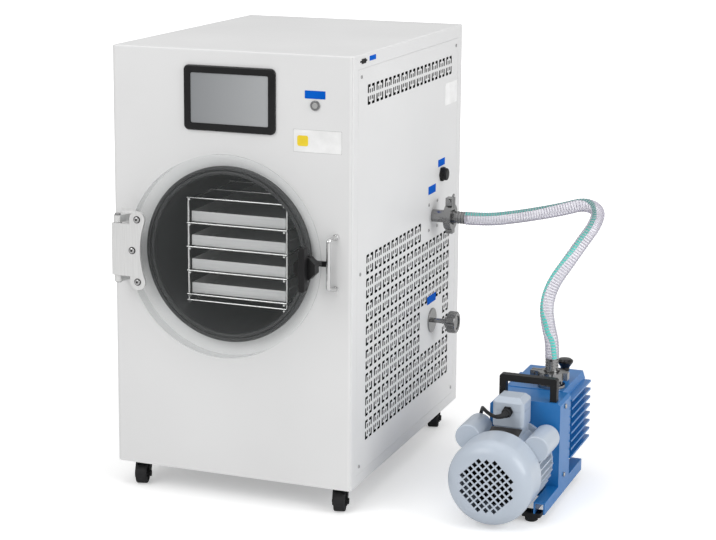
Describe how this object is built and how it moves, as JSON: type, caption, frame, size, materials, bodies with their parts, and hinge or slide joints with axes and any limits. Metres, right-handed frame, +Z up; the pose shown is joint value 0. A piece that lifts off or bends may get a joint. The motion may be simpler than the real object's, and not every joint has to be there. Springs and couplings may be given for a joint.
{
  "type": "freeze dryer",
  "caption": "Floor-standing freeze dryer with a clear round door, racked trays and touch screen, joined by a clear hose to an oil-filled vacuum pump.",
  "frame": {"origin": "middle of the whole object's footprint, hose and cord apart, on the floor", "axes": "+Z up, -Y out of the door side, +X towards the vacuum pump"},
  "size_m": [0.8706, 0.7332, 0.88],
  "materials": {
    "cabinet_paint": "satin off-white powder coat",
    "screw_metal": "zinc plated",
    "frame_metal": "plain grey paint",
    "chamber_lining": "black coated steel",
    "gasket_rubber": "moulded black silicone",
    "tray_steel": "brushed stainless sheet",
    "bright_steel": "polished stainless",
    "black_plastic": "moulded black",
    "screen": "dark grey display glass",
    "clear_acrylic": "polished clear acrylic",
    "caster_rubber": "black tread",
    "pump_blue": "gloss blue paint",
    "motor_grey": "pale blue-grey paint",
    "hose_pvc": "clear PVC with steel spiral and teal stripe",
    "cord_rubber": "black cord"
  },
  "bodies": {
    "cabinet": {"cabinet_shell": "cabinet_paint", "right_panel": "cabinet_paint", "left_panel": "cabinet_paint", "rear_panel": "cabinet_paint", "panel_screws": "screw_metal", "inner_frame": "frame_metal", "power_inlet": "black_plastic", "vacuum_chamber": "chamber_lining", "door_gasket": "gasket_rubber", "shelf_rack": "bright_steel", "tray_1": "tray_steel", "tray_2": "tray_steel", "tray_3": "tray_steel", "tray_4": "tray_steel", "compressor": "black_plastic", "screen_bezel": "black_plastic", "screen_glass": "screen", "button_ring": "bright_steel", "usb_socket": "black_plastic", "latch_strike": "bright_steel", "hinge_bracket": "bright_steel", "hinge_pin": "bright_steel", "vacuum_port": "bright_steel", "clamps": "bright_steel", "hose_barbs": "bright_steel", "drain_body": "bright_steel", "cable_glands": "black_plastic", "caster_plates": "black_plastic", "pump_base": "pump_blue", "pump_feet": "gasket_rubber", "motor_housing": "motor_grey", "capacitors": "motor_grey", "fan_cover": "motor_grey", "terminal_box": "motor_grey", "pump_handle": "black_plastic", "oil_tank": "pump_blue", "intake_neck": "bright_steel", "vacuum_hose": "hose_pvc", "pump_cord": "cord_rubber", "pump_cord_coil": "cord_rubber", "pump_plug": "black_plastic"},
    "door": {"door_lid": "clear_acrylic", "hinge_plate": "tray_steel", "door_screws": "screw_metal"},
    "latch": {"latch_handle": "black_plastic", "latch_tongue": "black_plastic"},
    "power_button": {"push_button": "bright_steel"},
    "drain_valve": {"drain_handle": "bright_steel"},
    "port_nut": {"port_wing_nut": "bright_steel"},
    "intake_nut": {"intake_wing_nut": "bright_steel"},
    "fan": {"motor_fan": "black_plastic"},
    "cap": {"exhaust_cap": "black_plastic"},
    "fork_front_left": {"caster_fork_front_left": "black_plastic"},
    "wheel_front_left": {"caster_wheel_front_left": "caster_rubber"},
    "fork_front_right": {"caster_fork_front_right": "black_plastic"},
    "wheel_front_right": {"caster_wheel_front_right": "caster_rubber"},
    "fork_rear_left": {"caster_fork_rear_left": "black_plastic"},
    "wheel_rear_left": {"caster_wheel_rear_left": "caster_rubber"},
    "fork_rear_right": {"caster_fork_rear_right": "black_plastic"},
    "wheel_rear_right": {"caster_wheel_rear_right": "caster_rubber"}
  },
  "joints": [
    {"name": "door_swing", "type": "hinge", "parent": "cabinet", "child": "door", "pos_m": [-0.39545, -0.32435, 0.492], "axis": [0, 0, -1], "range_deg": [0, 110]},
    {"name": "latch_turn", "type": "hinge", "parent": "door", "child": "latch", "pos_m": [0.00255, -0.33035, 0.492], "axis": [0, 1, 0], "range_deg": [0, 90]},
    {"name": "button_press", "type": "slide", "parent": "cabinet", "child": "power_button", "axis": [0, 1, 0], "range_m": [0, 0.0025], "stiffness_N_per_m": 600},
    {"name": "drain_turn", "type": "hinge", "parent": "cabinet", "child": "drain_valve", "pos_m": [0.07205, 0.18465, 0.272], "axis": [1, 0, 0], "range_deg": [0, 360]},
    {"name": "port_nut_spin", "type": "hinge", "parent": "cabinet", "child": "port_nut", "pos_m": [0.11005, 0.19335, 0.532], "axis": [0, 1, 0], "continuous": true},
    {"name": "intake_nut_spin", "type": "hinge", "parent": "cabinet", "child": "intake_nut", "pos_m": [0.34255, 0.03065, 0.232], "axis": [0, 1, 0], "continuous": true},
    {"name": "fan_spin", "type": "hinge", "parent": "cabinet", "child": "fan", "pos_m": [0.33455, -0.08635, 0.091], "axis": [0, 1, 0], "continuous": true},
    {"name": "cap_turn", "type": "hinge", "parent": "cabinet", "child": "cap", "pos_m": [0.38955, 0.07865, 0.208], "axis": [0, 0, 1], "continuous": true},
    {"name": "swivel_front_left", "type": "hinge", "parent": "cabinet", "child": "fork_front_left", "pos_m": [-0.38695, -0.24235, 0.05], "axis": [0, 0, 1], "continuous": true},
    {"name": "roll_front_left", "type": "hinge", "parent": "fork_front_left", "child": "wheel_front_left", "pos_m": [-0.38177, -0.26167, 0.02], "axis": [0.9659, 0.2588, 0], "continuous": true},
    {"name": "swivel_front_right", "type": "hinge", "parent": "cabinet", "child": "fork_front_right", "pos_m": [0.03605, -0.24235, 0.05], "axis": [0, 0, 1], "continuous": true},
    {"name": "roll_front_right", "type": "hinge", "parent": "fork_front_right", "child": "wheel_front_right", "pos_m": [0.04123, -0.26167, 0.02], "axis": [0.9659, 0.2588, 0], "continuous": true},
    {"name": "swivel_rear_left", "type": "hinge", "parent": "cabinet", "child": "fork_rear_left", "pos_m": [-0.38695, 0.31965, 0.05], "axis": [0, 0, 1], "continuous": true},
    {"name": "roll_rear_left", "type": "hinge", "parent": "fork_rear_left", "child": "wheel_rear_left", "pos_m": [-0.38177, 0.30033, 0.02], "axis": [0.9659, 0.2588, 0], "continuous": true},
    {"name": "swivel_rear_right", "type": "hinge", "parent": "cabinet", "child": "fork_rear_right", "pos_m": [0.03605, 0.31965, 0.05], "axis": [0, 0, 1], "continuous": true},
    {"name": "roll_rear_right", "type": "hinge", "parent": "fork_rear_right", "child": "wheel_rear_right", "pos_m": [0.04123, 0.30033, 0.02], "axis": [0.9659, 0.2588, 0], "continuous": true}
  ]
}
